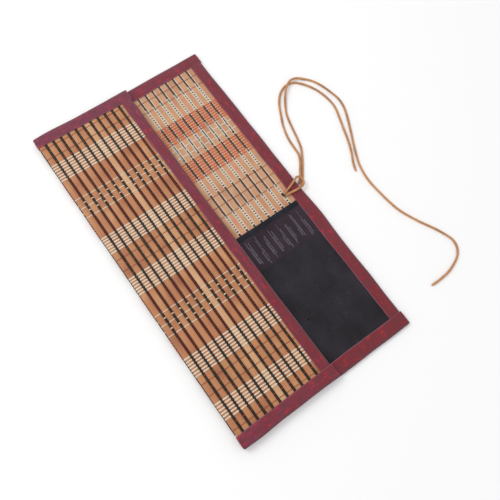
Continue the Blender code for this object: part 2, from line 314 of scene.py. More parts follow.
def add_camera():
    """The view: its angle, roll and distance."""
    azimuth, elevation, roll = math.radians(-47.06), math.radians(70.71), math.radians(11.77)
    distance = 0.5985
    target = Vector((0.0163, -0.0341, 0.0))
    back = Vector((
        math.sin(azimuth) * math.cos(elevation), -math.cos(azimuth) * math.cos(elevation), math.sin(elevation),
    ))
    right = Vector((math.cos(azimuth), math.sin(azimuth), 0.0))
    up = back.cross(right)
    turned_right = math.cos(roll) * right + math.sin(roll) * up
    turned_up = -math.sin(roll) * right + math.cos(roll) * up
    data = bpy.data.cameras.new("camera")
    data.sensor_width = 36.0
    data.lens = 44.19
    camera = bpy.data.objects.new("camera", data)
    turn = Matrix((turned_right, turned_up, back)).transposed()
    camera.matrix_world = Matrix.Translation(target + back * distance) @ turn.to_4x4()
    bpy.context.scene.collection.objects.link(camera)
    bpy.context.scene.camera = camera


def add_area_light(name, place, size, power):
    data = bpy.data.lights.new(name, "AREA")
    data.size = size
    data.energy = power
    lamp = bpy.data.objects.new(name, data)
    lamp.location = place
    lamp.rotation_mode = "QUATERNION"
    lamp.rotation_quaternion = Vector(place).to_track_quat("Z", "Y")
    bpy.context.scene.collection.objects.link(lamp)


def add_stage():
    world = bpy.data.worlds.new("studio")
    bpy.context.scene.world = world
    world.use_nodes = True
    sky = world.node_tree.nodes["Background"]
    sky.inputs["Color"].default_value = (1.0, 1.0, 1.0, 1.0)
    sky.inputs["Strength"].default_value = 0.88
    add_area_light("key", (-0.55, 0.75, 1.1), 0.7, 6.5)
    mesh = bpy.data.meshes.new("floor")
    half = 3.0
    corners = [(-half, -half, 0), (half, -half, 0), (half, half, 0), (-half, half, 0)]
    mesh.from_pydata(corners, [], [(0, 1, 2, 3)])
    floor = bpy.data.objects.new("floor", mesh)
    bpy.context.scene.collection.objects.link(floor)
    paint = bpy.data.materials.new("floor_paint")
    paint.use_nodes = True
    shader = paint.node_tree.nodes["Principled BSDF"]
    shader.inputs["Base Color"].default_value = (0.93, 0.93, 0.93, 1.0)
    shader.inputs["Roughness"].default_value = 0.9
    shader.inputs["Specular IOR Level"].default_value = 0.1
    mesh.materials.append(paint)
    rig.stage(floor)
    bpy.context.scene.view_settings.view_transform = "Standard"


# ---------------------------------------------------------------- materials

def rgb(red, green, blue):
    """A display colour from 0 to 255 as the linear one that a shader takes."""
    def linear(value):
        value /= 255
        return value / 12.92 if value <= 0.04045 else ((value + 0.055) / 1.055) ** 2.4
    return linear(red), linear(green), linear(blue), 1.0


class Graph:
    """A material whose texture reads the mesh's own "rest" attribute, so that it moves with the cloth."""

    def __init__(self, name, roughness, sheen=0.0, specular=0.35):
        self.material = bpy.data.materials.new(name)
        self.material.use_nodes = True
        self.tree = self.material.node_tree
        self.shader = self.tree.nodes["Principled BSDF"]
        self.shader.inputs["Roughness"].default_value = roughness
        self.shader.inputs["Specular IOR Level"].default_value = specular
        self.shader.inputs["Sheen Weight"].default_value = sheen
        rest = self.tree.nodes.new("ShaderNodeAttribute")
        rest.attribute_name = "rest"
        self.rest = rest.outputs["Vector"]
        split = self.node("ShaderNodeSeparateXYZ", Vector=self.rest)
        self.u, self.v, self.w = split.outputs

    def node(self, kind, settings=(), **inputs):
        made = self.tree.nodes.new(kind)
        for key, value in dict(settings).items():
            setattr(made, key, value)
        for key, value in inputs.items():
            self.feed(made.inputs[key.replace("_", " ")], value)
        return made

    def feed(self, socket, value):
        if isinstance(value, bpy.types.NodeSocket):
            self.tree.links.new(value, socket)
        else:
            socket.default_value = value

    def math(self, operation, a, b=0.0, c=0.0):
        made = self.node("ShaderNodeMath", {"operation": operation})
        for socket, value in zip(made.inputs, (a, b, c)):
            self.feed(socket, value)
        return made.outputs[0]

    def scaled(self, across, along, seed):
        """The rest coordinates, each times its own scale."""
        made = self.node("ShaderNodeCombineXYZ")
        for socket, value, scale in zip(made.inputs, (self.u, self.v, self.w), (across, along, seed)):
            self.feed(socket, self.math("MULTIPLY", value, scale))
        return made.outputs[0]

    def noise(self, vector, detail=2.0, scale=1.0):
        return self.node("ShaderNodeTexNoise", Vector=vector, Scale=scale, Detail=detail).outputs[0]

    def ramp(self, factor, stops):
        made = self.node("ShaderNodeValToRGB", Fac=factor)
        elements = made.color_ramp.elements
        while len(elements) < len(stops):
            elements.new(0.5)
        for element, (place, colour) in zip(elements, stops):
            element.position = place
            element.color = colour
        return made.outputs[0]

    def mix(self, factor, a, b, blend="MIX"):
        made = self.tree.nodes.new("ShaderNodeMix")
        made.data_type = "RGBA"
        made.blend_type = blend
        self.feed(made.inputs[0], factor)
        self.feed(made.inputs[6], a)
        self.feed(made.inputs[7], b)
        return made.outputs[2]

    def spread(self, value, low, high, start, stop):
        """The value mapped from low..high to start..stop, and kept there."""
        made = self.node("ShaderNodeMapRange", Value=value)
        for socket, number in zip(made.inputs[1:5], (low, high, start, stop)):
            socket.default_value = number
        return made.outputs[0]

    def finish(self, colour, height=None, distance=0.1 * MM, strength=0.5, roughness=None):
        self.feed(self.shader.inputs["Base Color"], colour)
        if height is not None:
            bump = self.node("ShaderNodeBump", Height=height, Strength=strength, Distance=distance)
            self.feed(self.shader.inputs["Normal"], bump.outputs[0])
        if roughness is not None:
            self.feed(self.shader.inputs["Roughness"], roughness)
        return self.material


def bamboo(name, stops, dirt):
    """Split bamboo: fibres along the slat, a tone of its own for each slat that drifts along it."""
    g = Graph(name, 0.5, specular=0.4)
    tone = g.noise(g.scaled(0.0, 38.0, 5.3), 1.0)
    fibres = g.noise(g.scaled(2600.0, 60.0, 9.0), 3.0)
    streaks = g.noise(g.scaled(900.0, 14.0, 4.0), 2.0)
    base = g.ramp(g.spread(tone, 0.28, 0.72, 0.0, 1.0), stops)
    light = g.mix(g.spread(fibres, 0.4, 0.75, 0.0, 0.22), base, rgb(226, 186, 142))
    worn = g.mix(g.spread(streaks, 0.55, 0.75, 0.0, dirt), light, rgb(96, 56, 30), "MULTIPLY")
    return g.finish(worn, fibres, 0.12 * MM, 0.55, g.spread(fibres, 0.3, 0.7, 0.42, 0.62))


def stained_stick():
    g = Graph("dark_stick", 0.45, specular=0.35)
    grain = g.noise(g.scaled(1800.0, 50.0, 7.0), 3.0)
    patches = g.noise(g.scaled(0.0, 120.0, 11.0), 2.0)
    base = g.ramp(g.spread(patches, 0.3, 0.75, 0.0, 1.0), (
        (0.0, rgb(22, 15, 15)), (0.45, rgb(32, 22, 17)), (0.75, rgb(46, 36, 22)), (1.0, rgb(70, 28, 18)),
    ))
    colour = g.mix(g.spread(grain, 0.5, 0.8, 0.0, 0.35), base, rgb(90, 70, 48))
    return g.finish(colour, grain, 0.1 * MM, 0.5, g.spread(grain, 0.3, 0.7, 0.38, 0.6))


def pale_pith():
    g = Graph("pale_pith", 0.7)
    grain = g.noise(g.scaled(2200.0, 90.0, 3.0), 3.0)
    stops = ((0.0, rgb(214, 208, 194)), (1.0, rgb(244, 240, 230)))
    colour = g.ramp(g.spread(grain, 0.3, 0.7, 0.0, 1.0), stops)
    return g.finish(colour, grain, 0.08 * MM, 0.4)


def thread(name, shade, light, ply):
    """Cotton thread: u runs along it, v across, w is its seed."""
    g = Graph(name, 0.85, sheen=0.15, specular=0.2)
    slant = g.math("ADD", g.math("MULTIPLY", g.u, 1.0 / ply), g.math("MULTIPLY", g.v, 0.9 / ply))
    twist = g.math("PINGPONG", slant, 0.5)
    fuzz = g.noise(g.scaled(5200.0, 5200.0, 8.0), 2.0)
    tone = g.noise(g.scaled(90.0, 0.0, 31.0), 1.0)
    base = g.mix(g.spread(twist, 0.05, 0.4, 0.0, 1.0), shade, light)
    colour = g.mix(g.spread(tone, 0.35, 0.7, 0.0, 0.4), base, shade)
    height = g.math("ADD", twist, g.math("MULTIPLY", fuzz, 0.5))
    return g.finish(colour, height, 0.12 * MM, 0.7)


def brocade():
    """Ribbon: u along it, v across it from one selvedge to the other, w how red it is."""
    g = Graph("ribbon_brocade", 0.72, sheen=0.35, specular=0.25)
    zigzag = g.math("PINGPONG", g.u, 2.4 * MM)
    slant = g.math("MULTIPLY", g.math("ADD", zigzag, g.v), 1.0 / (1.05 * MM))
    twill = g.math("PINGPONG", slant, 0.5)
    blotch = g.noise(g.scaled(46.0, 120.0, 0.0), 2.0)
    petals = g.noise(g.scaled(130.0, 300.0, 0.0), 3.0)
    redness = g.math("ADD", g.math("MULTIPLY", blotch, 1.25), g.math("MULTIPLY", g.w, 0.55))
    ground = g.ramp(g.spread(redness, 0.45, 1.25, 0.0, 1.0), (
        (0.0, rgb(92, 36, 54)), (0.3, rgb(94, 32, 46)), (0.6, rgb(88, 28, 38)), (1.0, rgb(82, 28, 34)),
    ))
    figure = g.ramp(g.spread(redness, 0.45, 1.25, 0.0, 1.0), (
        (0.0, rgb(144, 56, 80)), (0.4, rgb(148, 46, 62)), (0.7, rgb(146, 36, 48)), (1.0, rgb(142, 32, 42)),
    ))
    woven = g.mix(g.spread(twill, 0.12, 0.38, 0.0, 1.0), ground, figure)
    dull = g.mix(g.spread(petals, 0.5, 0.64, 0.0, 0.55), woven, rgb(92, 52, 60))
    flecks = g.noise(g.scaled(850.0, 850.0, 0.0), 2.0)
    flecked = g.mix(g.spread(flecks, 0.5, 0.66, 0.0, 0.6), dull, rgb(80, 44, 54))
    bright = g.mix(g.spread(petals, 0.42, 0.3, 0.0, 0.75), flecked, g.mix(0.5, figure, rgb(186, 34, 44)))
    selvedge = g.math("PINGPONG", g.v, 14.6 * MM)
    edged = g.mix(g.spread(selvedge, 0.95 * MM, 0.45 * MM, 0.0, 0.5), bright, rgb(136, 92, 108))
    # painted shade: the brocade darkens towards the folded edge, where the ribbon turns down round the mat's edge
    folded = g.mix(g.spread(selvedge, 12.0 * MM, 13.2 * MM, 0.0, 0.66), edged, rgb(84, 52, 62))
    yarn = g.math("PINGPONG", g.math("MULTIPLY", g.u, 1.0 / (0.42 * MM)), 0.5)
    height = g.math("ADD", twill, g.math("MULTIPLY", yarn, 0.35))
    return g.finish(folded, height, 0.16 * MM, 0.75, g.spread(petals, 0.3, 0.7, 0.62, 0.82))


def cotton(name, dark, light, wear):
    """Plain woven cotton: u across the mat, v along it."""
    g = Graph(name, 0.92, sheen=0.12, specular=0.15)
    warp = g.math("SINE", g.math("MULTIPLY", g.u, 2 * math.pi / (0.5 * MM)))
    weft = g.math("SINE", g.math("MULTIPLY", g.v, 2 * math.pi / (0.5 * MM)))
    weave = g.math("MULTIPLY", warp, weft)
    cloudy = g.noise(g.scaled(46.0, 30.0, 3.0), 3.0)
    lint = g.noise(g.scaled(420.0, 420.0, 5.0), 4.0)
    base = g.mix(g.spread(cloudy, 0.3, 0.7, 0.0, 1.0), dark, light)
    speck = g.mix(g.spread(lint, 0.64, 0.78, 0.0, wear), base, rgb(116, 108, 112))
    # painted shade: the weave's low points, between the yarns, are darkened towards black
    colour = g.mix(g.spread(weave, -1.0, 1.0, 0.18, 0.0), speck, (0.0, 0.0, 0.0, 1.0))
    return g.finish(colour, weave, 0.08 * MM, 0.6)


def waxed_cord():
    """Twisted cord: u round it, v along it."""
    g = Graph("waxed_cord", 0.6, sheen=0.1, specular=0.4)
    fibres = g.noise(g.scaled(9.0, 2400.0, 2.0), 3.0)
    tone = g.noise(g.scaled(0.0, 70.0, 6.0), 2.0)
    base = g.ramp(g.spread(tone, 0.3, 0.7, 0.0, 1.0), (
        (0.0, rgb(150, 98, 60)), (0.5, rgb(176, 120, 76)), (1.0, rgb(192, 138, 88)),
    ))
    colour = g.mix(g.spread(fibres, 0.4, 0.75, 0.0, 0.35), base, rgb(226, 176, 128))
    return g.finish(colour, fibres, 0.1 * MM, 0.5, g.spread(fibres, 0.3, 0.7, 0.5, 0.72))


def make_materials():
    outer_stops = (
        (0.0, rgb(154, 92, 58)), (0.3, rgb(170, 107, 68)), (0.65, rgb(178, 118, 76)), (1.0, rgb(186, 132, 90)),
    )
    pale_stops = ((0.0, rgb(188, 138, 98)), (1.0, rgb(204, 160, 120)))
    inner_stops = (
        (0.0, rgb(178, 123, 90)), (0.4, rgb(188, 137, 102)),
        (0.75, rgb(193, 146, 110)), (1.0, rgb(194, 130, 98)),
    )
    shade_stops = ((0.0, rgb(120, 76, 52)), (1.0, rgb(158, 112, 80)))
    return {
        "bamboo_outer": bamboo("bamboo_outer", outer_stops, 0.35),
        "bamboo_pale": bamboo("bamboo_pale", pale_stops, 0.2),
        "bamboo_inner": bamboo("bamboo_inner", inner_stops, 0.2),
        "bamboo_shade": bamboo("bamboo_shade", shade_stops, 0.3),
        "dark_stick": stained_stick(),
        "pale_pith": pale_pith(),
        "thread_cream": thread("thread_cream", rgb(196, 174, 148), rgb(238, 226, 208), 0.7 * MM),
        "thread_red": thread("thread_red", rgb(88, 20, 16), rgb(128, 36, 28), 0.6 * MM),
        "thread_rust": thread("thread_rust", rgb(176, 70, 44), rgb(220, 116, 78), 0.6 * MM),
        "thread_brown": thread("thread_brown", rgb(112, 50, 30), rgb(160, 84, 54), 0.6 * MM),
        "ribbon": brocade(),
        "cloth": cotton("pocket_cotton", rgb(34, 32, 36), rgb(50, 47, 53), 0.35),
        "hem": cotton("pocket_hem", rgb(24, 25, 33), rgb(38, 40, 50), 0.15),
        "band": cotton("pocket_band", rgb(44, 34, 40), rgb(60, 50, 58), 0.2),
        # painted shade: the hole's finish is near-black, the shade inside the pocket's worn hole
        "hole": cotton("pocket_hole_shade", rgb(8, 6, 8), rgb(12, 9, 11), 0.0),
        "band_line": thread("band_line", rgb(112, 104, 116), rgb(132, 124, 136), 60 * MM),
        "cord": waxed_cord(),
    }


# ---------------------------------------------------------------- meshes

class Shape:
    """Gathers lofted solids into one mesh. Every point also has its rest coordinates for the textures."""

    def __init__(self):
        self.points = []
        self.rest = []
        self.faces = []
        self.slots = []

    def loft(self, rings, rest, slot=0):
        """A closed solid through rings of points. slot is a number, or a function of (ring, side)."""
        first, count = len(self.points), len(rings[0])
        for ring, marks in zip(rings, rest):
            self.points += ring
            self.rest += marks
        for i in range(len(rings) - 1):
            a = first + i * count
            for j in range(count):
                k = (j + 1) % count
                self.faces.append((a + j, a + k, a + count + k, a + count + j))
                self.slots.append(slot(i, j) if callable(slot) else slot)
        last = first + (len(rings) - 1) * count
        self.faces.append(tuple(range(first, first + count)))
        self.faces.append(tuple(reversed(range(last, last + count))))
        self.slots += [slot(0, 0) if callable(slot) else slot] * 2

    def piece(self, name, materials, crease):
        mesh = bpy.data.meshes.new(name)
        mesh.from_pydata(self.points, [], self.faces)
        for made in materials:
            mesh.materials.append(made)
        mesh.polygons.foreach_set("material_index", self.slots)
        solid = bmesh.new()
        solid.from_mesh(mesh)
        bmesh.ops.recalc_face_normals(solid, faces=solid.faces)
        solid.to_mesh(mesh)
        solid.free()
        mesh.shade_smooth()
        mesh.set_sharp_from_angle(angle=math.radians(crease))
        marks = mesh.attributes.new("rest", "FLOAT_VECTOR", "POINT")
        marks.data.foreach_set("vector", [x for mark in self.rest for x in mark])
        made = bpy.data.objects.new(name, mesh)
        bpy.context.scene.collection.objects.link(made)
        return made


def wobble(x, y, z, size, amount):
    """Smooth noise of about the given size in metres."""
    return amount * noise.noise(Vector((x / size, y / size, z / size)))


# ---------------------------------------------------------------- the mat's units and joints

class Unit:
    """A slat with the stick at its right. outside is +1 where the mat's outside faces up."""

    def __init__(self, node, width, body, outside, seed):
        low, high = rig.box(node)
        self.node = node
        self.body = body
        self.left = low.x
        self.right = low.x + width
        self.centre = low.x + width / 2
        self.stick = low.x + width + STICK_FROM_SLAT
        self.z = (low.z + high.z) / 2
        self.outside = outside
        self.seed = seed


def body_of_node(node):
    return frame["nodes"][node]["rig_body"]


def make_units():
    """Both layers' units, each list from left to right."""
    base, flap = [], []
    for number in range(BASE_SLATS, 0, -1):
        node = f"base_slat_{number:02d}"
        base.append(Unit(node, BASE_SLAT_WIDTH, body_of_node(node), -1, 30 + number))
    for number in range(1, FLAP_SLATS + 1):
        node = f"flap_slat_{number:02d}"
        width = LAST_FLAP_SLAT_WIDTH if number == FLAP_SLATS else FLAP_SLAT_WIDTH
        flap.append(Unit(node, width, body_of_node(node), 1, number))
    flap[-1].stick = None
    return base, flap


def hinge(a, b):
    """Where the joint between two bodies is."""
    for joint in frame["joints"]:
        if {joint["parent"], joint["child"]} == {a, b}:
            return Vector(joint["pos_m"])
    raise ValueError(f"no joint joins {a} and {b}")


def join_cell(piece, a, b, reach):
    """A piece that runs from one unit to the next bends at the joint between them."""
    if a.body == b.body:
        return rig.ride(piece, a.body)
    place = hinge(a.body, b.body)
    side = Vector((reach, 0.0, 0.0))
    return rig.blend(piece, a.body, b.body, start=place - side, end=place + side)


def join_fold(piece, base, flap, reach):
    """A piece that goes round the fold turns about the fold stick. What is further than reach below or above
    the stick's middle stays with its own layer."""
    place = hinge(base[0].body, flap[0].body)
    side = Vector((0.0, 0.0, reach))
    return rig.blend(piece, base[0].body, flap[0].body, start=place - side, end=place + side)


# ---------------------------------------------------------------- slats and sticks

def slat_section(unit):
    """(x, z) round a slat: crowned on its outside, flat with pale chamfers on its inside."""
    out = unit.outside
    left, right = unit.left + 0.05 * MM, unit.right - 0.05 * MM
    width = right - left
    section = []
    for i in range(7):
        t = i / 6
        crown = 0.12 * MM * (1 - (2 * t - 1) ** 2)
        inset = 0.25 * MM if i in (0, 6) else 0.0
        x = left + 0.12 * MM + (width - 0.24 * MM) * t
        section.append((x, unit.z + out * (0.52 * MM + crown - inset)))
    for t in (1.0, 0.93, 0.66, 0.33, 0.07, 0.0):
        drop = 0.34 * MM if t in (0.0, 1.0) else 0.0
        section.append((left + width * t, unit.z - out * (SLAT_HALF - drop)))
    return section


def add_slat(unit, materials):
    low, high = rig.box(unit.node)
    section = slat_section(unit)
    notched = unit.node == "base_slat_02"
    rings, rest = [], []
    ys = [low.y + (high.y - low.y) * i / SLAT_STEPS for i in range(SLAT_STEPS + 1)]
    if notched:
        ys = sorted(ys + [NOTCH_Y + share * NOTCH_HALF for share in (-1.06, -1.0, -0.5, 0.5, 1.0, 1.06)])
    for y in ys:
        ring, marks = [], []
        for x, z in section:
            if notched and abs(y - NOTCH_Y) < 1.03 * NOTCH_HALF:
                x = max(x, unit.left + NOTCH_DEPTH)
            side = 1 if x > unit.centre else -1
            worn = wobble(side * 3.1 + unit.seed, y, 0.0, 11 * MM, 0.13 * MM)
            bow = wobble(unit.seed * 7.7, y, 0.0, 60 * MM, 0.12 * MM)
            ring.append((x + worn * side + bow, y, z))
            marks.append((x - unit.left, y, unit.seed))
        rings.append(ring)
        rest.append(marks)
    shape = Shape()
    shape.loft(rings, rest, lambda i, j: 0 if j < 6 else 2 if j in (7, 11) else 1)
    pale = unit.node == f"flap_slat_{PALE_FLAP_SLAT:02d}"
    outer = materials["bamboo_pale" if pale else "bamboo_outer"]
    name = unit.node.replace("slat", "bamboo_slat")
    piece = shape.piece(name, [outer, materials["bamboo_inner"], materials["pale_pith"]], 30)
    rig.replaces(piece, unit.node)
    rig.slot(piece, "bamboo")
    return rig.ride(piece, unit.body)


def pith_shows(y):
    return any(low < y / MM < high for low, high in PITH_STRETCHES)


def add_stick(name, centre, z, outside, reach, seed, body, materials):
    """A dark stick: round outside, and inside a flat with pale flanks."""
    section = []
    for i in range(9):
        angle = math.pi * i / 8
        section.append((centre + STICK_RADIUS * math.cos(angle), z + outside * STICK_RADIUS * math.sin(angle)))
    for x, depth in ((-0.98, 0.35), (-0.56, 0.84), (0.0, 0.95), (0.56, 0.84), (0.98, 0.35)):
        section.append((centre + STICK_RADIUS * x, z - outside * STICK_RADIUS * depth))
    flanks = (9, 12)
    rings, rest, places = [], [], []
    for i in range(SLAT_STEPS * 2 + 1):
        y = -reach + 2 * reach * i / (SLAT_STEPS * 2)
        bow = wobble(seed * 5.1, y, 1.0, 40 * MM, 0.12 * MM)
        rings.append([(x + bow, y, height) for x, height in section])
        rest.append([(x - centre, y, seed) for x, _ in section])
        places.append(y)
    shape = Shape()
    beside_hitch = name == "base_stick_03"

    def slot_of(i, j):
        if j not in flanks or beside_hitch and abs(places[i] - NOTCH_Y) < NOTCH_HALF:
            return 0
        return 1 if pith_shows(places[i]) else 2

    shape.loft(rings, rest, slot_of)
    piece = shape.piece(name, [materials[key] for key in ("dark_stick", "pale_pith", "bamboo_shade")], 50)
    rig.slot(piece, "dark_bamboo")
    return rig.ride(piece, body)


def add_slats(base, flap, materials):
    for unit in base + flap:
        add_slat(unit, materials)
        if unit.stick is not None:
            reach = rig.box(unit.node)[1].y
            name = unit.node.replace("slat", "stick")
            add_stick(name, unit.stick, unit.z, unit.outside, reach, unit.seed, unit.body, materials)
    low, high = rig.box("fold_stick")
    middle = (low + high) / 2
    body = body_of_node("fold_stick")
    piece = add_stick("fold_dark_stick", middle.x, middle.z, 1, high.y, 77, body, materials)
    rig.replaces(piece, "fold_stick")


# ---------------------------------------------------------------- warp threads

def warp_threads():
    """(kind, y at the fold) of every warp thread."""
    made = []
    for kind, first, last, count in WEAVE:
        for i in range(count):
            share = i / (count - 1) if count > 1 else 0.0
            made.append((kind, (first + (last - first) * share) * MM))
    return made


def thread_y(index, y, unit, fold_x):
    """Where a warp thread crosses a unit: it slants a little, and wanders."""
    skew = FLAP_SKEW if unit.outside > 0 else BASE_SKEW
    away = wobble(index * 3.7, unit.seed * 2.3, 0.5, 1.0, THREAD_WANDER)
    return y + skew * (unit.centre - fold_x) + away


def add_thread(shape, path, width, thickness, seed, slot, across=(0.0, 1.0, 0.0)):
    """A flat thread along a path of (x, y, z)."""
    side = Vector(across)
    rings, rest = [], []
    along = 0.0
    for i, point in enumerate(path):
        before, after = Vector(path[max(i - 1, 0)]), Vector(path[min(i + 1, len(path) - 1)])
        tangent = (after - before).normalized()
        normal = tangent.cross(side).normalized()
        if i:
            along += (Vector(point) - Vector(path[i - 1])).length
        ring, marks = [], []
        for k in range(6):
            angle = math.pi * (k + 0.5) / 3
            aside = math.cos(angle) * width / 2
            ring.append(tuple(Vector(point) + side * aside + normal * (math.sin(angle) * thickness / 2)))
            marks.append((along, aside, seed))
        rings.append(ring)
        rest.append(marks)
    shape.loft(rings, rest, slot)


def cell_path(a, b, phase, half):
    """(x, z) of a thread from the middle of one slat, past its stick, to the middle of the next slat.
    phase is +1 where the thread lies over the slats on the outside."""
    up = a.outside * phase
    over = a.z + up * (SLAT_HALF + half)
    under = STICK_RADIUS + half
    path = [(a.centre, over), (a.right - 1.0 * MM, over), (a.right - 0.2 * MM, over - up * 0.12 * MM)]
    path.append((a.right + 0.1 * MM, a.z + up * 0.25 * MM))
    for degrees in (-75, -45, 0, 45, 75):
        turn = math.radians(degrees)
        path.append((a.stick + under * math.sin(turn), a.z - up * under * math.cos(turn)))
    path.append((b.left - 0.1 * MM, a.z + up * 0.25 * MM))
    path += [(b.left + 0.2 * MM, over - up * 0.12 * MM), (b.left + 1.0 * MM, over), (b.centre, over)]
    return path


def fold_path(base, flap, phase, half):
    """(x, z) of a thread round the fold: inside the fold stick where it lies outside on the slats, and the
    other way round."""
    place = hinge(base.body, flap.body)
    radius = STICK_RADIUS + half
    low = base.z - phase * (SLAT_HALF + half)
    high = flap.z + phase * (SLAT_HALF + half)
    path = [(base.centre, low), (base.left + 0.8 * MM, low)]
    if phase > 0:
        path += [(base.left + 0.1 * MM, low + 0.1 * MM), (base.left - 0.2 * MM, base.z)]
        path += [(base.left + 0.05 * MM, base.z + 0.85 * MM)]
        path += [(place.x + radius * math.cos(a), place.z + radius * math.sin(a)) for a in (-0.6, 0.0, 0.6)]
        path += [(flap.left + 0.3 * MM, flap.z - 0.85 * MM), (flap.left - 0.2 * MM, flap.z)]
        path += [(flap.left + 0.1 * MM, high - 0.1 * MM)]
    else:
        turns = (-0.9, -0.45, 0.0, 0.45, 0.9)
        path += [(place.x - radius * math.cos(a), place.z + radius * math.sin(a)) for a in turns]
    path += [(flap.left + 0.9 * MM, high), (flap.centre, high)]
    return path


def over_slat(count):
    """The slot of a thread's stretches: 1 on the slats, where the red ones are paler, and 0 on the stick."""
    return lambda i, _: 1 if i < 2 or i > count - 3 else 0


def add_warp(base, flap, materials):
    threads = warp_threads()
    fold_x = hinge(base[0].body, flap[0].body).x
    cells = [("base", a, b) for a, b in zip(base, base[1:])]
    cells += [("flap", a, b) for a, b in zip(flap, flap[1:])]
    cells.append(("fold", base[0], flap[0]))
    for layer, a, b in cells:
        shapes = {}
        for index, (kind, y) in enumerate(threads):
            width, thickness, phase, colour = THREADS[kind]
            make_path = fold_path if layer == "fold" else cell_path
            path = make_path(a, b, phase, thickness / 2)
            start, stop = thread_y(index, y, a, fold_x), thread_y(index, y, b, fold_x)
            if a.node == "base_slat_03" and abs(start - NOTCH_Y) < 0.8 * NOTCH_HALF:
                continue
            count = len(path) - 1
            points = [(x, start + (stop - start) * i / count, z) for i, (x, z) in enumerate(path)]
            shape = shapes.setdefault(colour, Shape())
            add_thread(shape, points, width, thickness, index + a.seed * 0.37, over_slat(count))
        for colour, shape in shapes.items():
            inside = materials["thread_rust" if colour == "thread_red" else colour]
            piece = shape.piece(f"{colour}_{a.node}_{layer}", [materials[colour], inside], 60)
            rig.slot(piece, "thread_cream" if colour == "thread_cream" else "thread_red")
            if layer == "fold":
                join_fold(piece, base, flap, 1.25 * MM)
            else:
                join_cell(piece, a, b, THREAD_BEND)


# ---------------------------------------------------------------- ribbon

def ribbon_ring(place, half, tuck):
    """A ring round a folded ribbon: over its inner face, round the fold, back over its outer face, and the
    same inside it. place(share, height) is the point at that share of the way from lip to fold. The lip is
    lifted by tuck on the inner face, where it lies on the pocket."""
    top = [(share, half * rise + tuck * (1 - share) ** 2) for share, rise in RIBBON_OUTLINE]
    low = [(share, -half * rise) for share, rise in RIBBON_OUTLINE]
    ring = top + low[::-1]
    ring += [(share * 0.96, min(height + RIBBON_THICK, 0.0)) for share, height in low[:-1]]
    ring += [(share * 0.96, max(height - RIBBON_THICK, 0.0)) for share, height in top[-2::-1]]
    return [place(share, height) for share, height in ring]


def ribbon_marks(u, red):
    """Rest coordinates that go with a ribbon ring."""
    shares = [share for share, _ in RIBBON_OUTLINE]
    way = shares + [2 - share for share in shares[::-1]]
    way += [2 - share for share in shares[:-1]] + shares[-2::-1]
    return [(u, share * RIBBON_HALF, red) for share in way]


def redness(x, y):
    """The brocade is redder towards the lower right corner and more plum towards the upper left."""
    return 0.42 + 3.4 * x - 2.2 * y


def over_sticks(x, sticks):
    """1 over a stick, falling to 0 on the slats."""
    return max(math.exp(-(((x - stick) / (1.7 * MM)) ** 2)) for stick in sticks)


